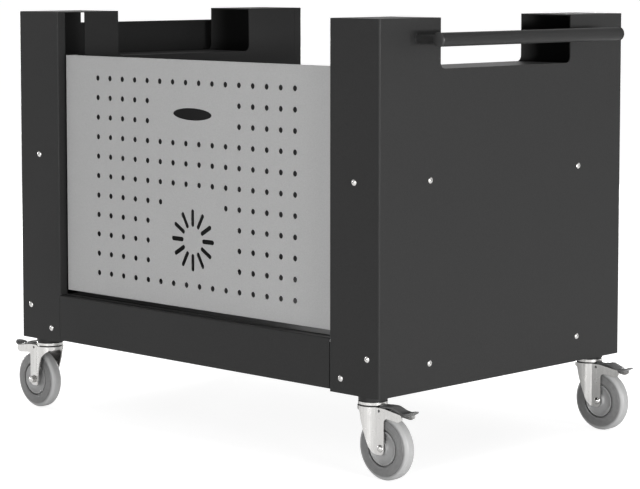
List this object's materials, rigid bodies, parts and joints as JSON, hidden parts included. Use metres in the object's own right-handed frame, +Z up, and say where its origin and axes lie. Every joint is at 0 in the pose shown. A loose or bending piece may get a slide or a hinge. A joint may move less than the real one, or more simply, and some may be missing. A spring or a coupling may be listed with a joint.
{
  "type": "outdoor pizza oven table",
  "caption": "Rolling stand with hollow folded-sheet side walls, a lift-off perforated front panel, a push handle, a fold-down side shelf and braked swivel casters.",
  "frame": {"origin": "on the ground, below the middle of the outline's bounding box", "axes": "+Z up, +X towards the push handle, -Y towards the perforated front panel"},
  "size_m": [1.1404, 0.7012, 0.822],
  "materials": {
    "dark_powder_coat": "satin fine-texture powder coat",
    "light_powder_coat": "matt fine-texture powder coat",
    "bright_zinc": "bright zinc plating",
    "grey_tyre": "smooth grey rubber",
    "grey_plastic": "moulded",
    "dark_plastic": "moulded",
    "black_plastic": "moulded"
  },
  "bodies": {
    "cabinet": {"left_outer_shell": "dark_powder_coat", "left_inner_panel": "dark_powder_coat", "left_base_channel": "dark_powder_coat", "panel_hook_strip_left": "dark_powder_coat", "wall_stiffener_front_left": "dark_powder_coat", "post_tie_front_left": "dark_powder_coat", "wall_stiffener_rear_left": "dark_powder_coat", "post_tie_rear_left": "dark_powder_coat", "right_outer_shell": "dark_powder_coat", "right_inner_panel": "dark_powder_coat", "right_base_channel": "dark_powder_coat", "panel_hook_strip_right": "dark_powder_coat", "wall_stiffener_front_right": "dark_powder_coat", "post_tie_front_right": "dark_powder_coat", "wall_stiffener_rear_right": "dark_powder_coat", "post_tie_rear_right": "dark_powder_coat", "front_rail": "dark_powder_coat", "handle_end_cap_front": "black_plastic", "shelf_hinge_bracket_front": "dark_powder_coat", "rear_rail": "dark_powder_coat", "handle_end_cap_rear": "black_plastic", "shelf_hinge_bracket_rear": "dark_powder_coat", "floor_shelf": "dark_powder_coat", "handle": "dark_powder_coat", "handle_bolts": "bright_zinc", "side_wall_screws": "bright_zinc", "post_screws": "bright_zinc", "panel_hook_studs": "bright_zinc", "shelf_pivot_pins": "bright_zinc", "caster_kingpins": "bright_zinc", "caster_kingpin_nuts": "bright_zinc", "caster_races": "dark_powder_coat"},
    "front_panel": {"front_panel": "light_powder_coat"},
    "side_shelf": {"side_shelf": "dark_powder_coat"},
    "caster_front_left_swivel": {"caster_front_left_fork": "bright_zinc", "caster_front_left_axle": "bright_zinc"},
    "caster_front_left_wheel": {"caster_front_left_hub": "grey_plastic", "caster_front_left_tyre": "grey_tyre"},
    "caster_front_left_brake": {"caster_front_left_brake_pedal": "dark_plastic"},
    "caster_rear_left_swivel": {"caster_rear_left_fork": "bright_zinc", "caster_rear_left_axle": "bright_zinc"},
    "caster_rear_left_wheel": {"caster_rear_left_hub": "grey_plastic", "caster_rear_left_tyre": "grey_tyre"},
    "caster_rear_left_brake": {"caster_rear_left_brake_pedal": "dark_plastic"},
    "caster_front_right_swivel": {"caster_front_right_fork": "bright_zinc", "caster_front_right_axle": "bright_zinc"},
    "caster_front_right_wheel": {"caster_front_right_hub": "grey_plastic", "caster_front_right_tyre": "grey_tyre"},
    "caster_front_right_brake": {"caster_front_right_brake_pedal": "dark_plastic"},
    "caster_rear_right_swivel": {"caster_rear_right_fork": "bright_zinc", "caster_rear_right_axle": "bright_zinc"},
    "caster_rear_right_wheel": {"caster_rear_right_hub": "grey_plastic", "caster_rear_right_tyre": "grey_tyre"},
    "caster_rear_right_brake": {"caster_rear_right_brake_pedal": "dark_plastic"}
  },
  "joints": [
    {"name": "front_panel_lift", "type": "slide", "parent": "cabinet", "child": "front_panel", "axis": [0, 0, 1], "range_m": [0, 0.012]},
    {"name": "side_shelf_fold", "type": "hinge", "parent": "cabinet", "child": "side_shelf", "pos_m": [-0.52415, 0, 0.7837], "axis": [0, 1, 0], "range_deg": [0, 90]},
    {"name": "caster_front_left_swivel_turn", "type": "hinge", "parent": "cabinet", "child": "caster_front_left_swivel", "pos_m": [-0.46415, -0.314, 0.14], "axis": [0, 0, 1], "continuous": true},
    {"name": "caster_front_left_wheel_spin", "type": "hinge", "parent": "caster_front_left_swivel", "child": "caster_front_left_wheel", "pos_m": [-0.49815, -0.314, 0.059], "axis": [0, 1, 0], "continuous": true},
    {"name": "caster_front_left_brake_press", "type": "hinge", "parent": "caster_front_left_swivel", "child": "caster_front_left_brake", "pos_m": [-0.49515, -0.314, 0.126], "axis": [0, -1, 0], "range_deg": [0, 10]},
    {"name": "caster_rear_left_swivel_turn", "type": "hinge", "parent": "cabinet", "child": "caster_rear_left_swivel", "pos_m": [-0.46415, 0.314, 0.14], "axis": [0, 0, 1], "continuous": true},
    {"name": "caster_rear_left_wheel_spin", "type": "hinge", "parent": "caster_rear_left_swivel", "child": "caster_rear_left_wheel", "pos_m": [-0.49815, 0.314, 0.059], "axis": [0, 1, 0], "continuous": true},
    {"name": "caster_rear_left_brake_press", "type": "hinge", "parent": "caster_rear_left_swivel", "child": "caster_rear_left_brake", "pos_m": [-0.49515, 0.314, 0.126], "axis": [0, -1, 0], "range_deg": [0, 10]},
    {"name": "caster_front_right_swivel_turn", "type": "hinge", "parent": "cabinet", "child": "caster_front_right_swivel", "pos_m": [0.45185, -0.314, 0.14], "axis": [0, 0, 1], "continuous": true},
    {"name": "caster_front_right_wheel_spin", "type": "hinge", "parent": "caster_front_right_swivel", "child": "caster_front_right_wheel", "pos_m": [0.48585, -0.314, 0.059], "axis": [0, 1, 0], "continuous": true},
    {"name": "caster_front_right_brake_press", "type": "hinge", "parent": "caster_front_right_swivel", "child": "caster_front_right_brake", "pos_m": [0.48285, -0.314, 0.126], "axis": [0, 1, 0], "range_deg": [0, 10]},
    {"name": "caster_rear_right_swivel_turn", "type": "hinge", "parent": "cabinet", "child": "caster_rear_right_swivel", "pos_m": [0.45185, 0.314, 0.14], "axis": [0, 0, 1], "continuous": true},
    {"name": "caster_rear_right_wheel_spin", "type": "hinge", "parent": "caster_rear_right_swivel", "child": "caster_rear_right_wheel", "pos_m": [0.48585, 0.314, 0.059], "axis": [0, 1, 0], "continuous": true},
    {"name": "caster_rear_right_brake_press", "type": "hinge", "parent": "caster_rear_right_swivel", "child": "caster_rear_right_brake", "pos_m": [0.48285, 0.314, 0.126], "axis": [0, 1, 0], "range_deg": [0, 10]}
  ]
}
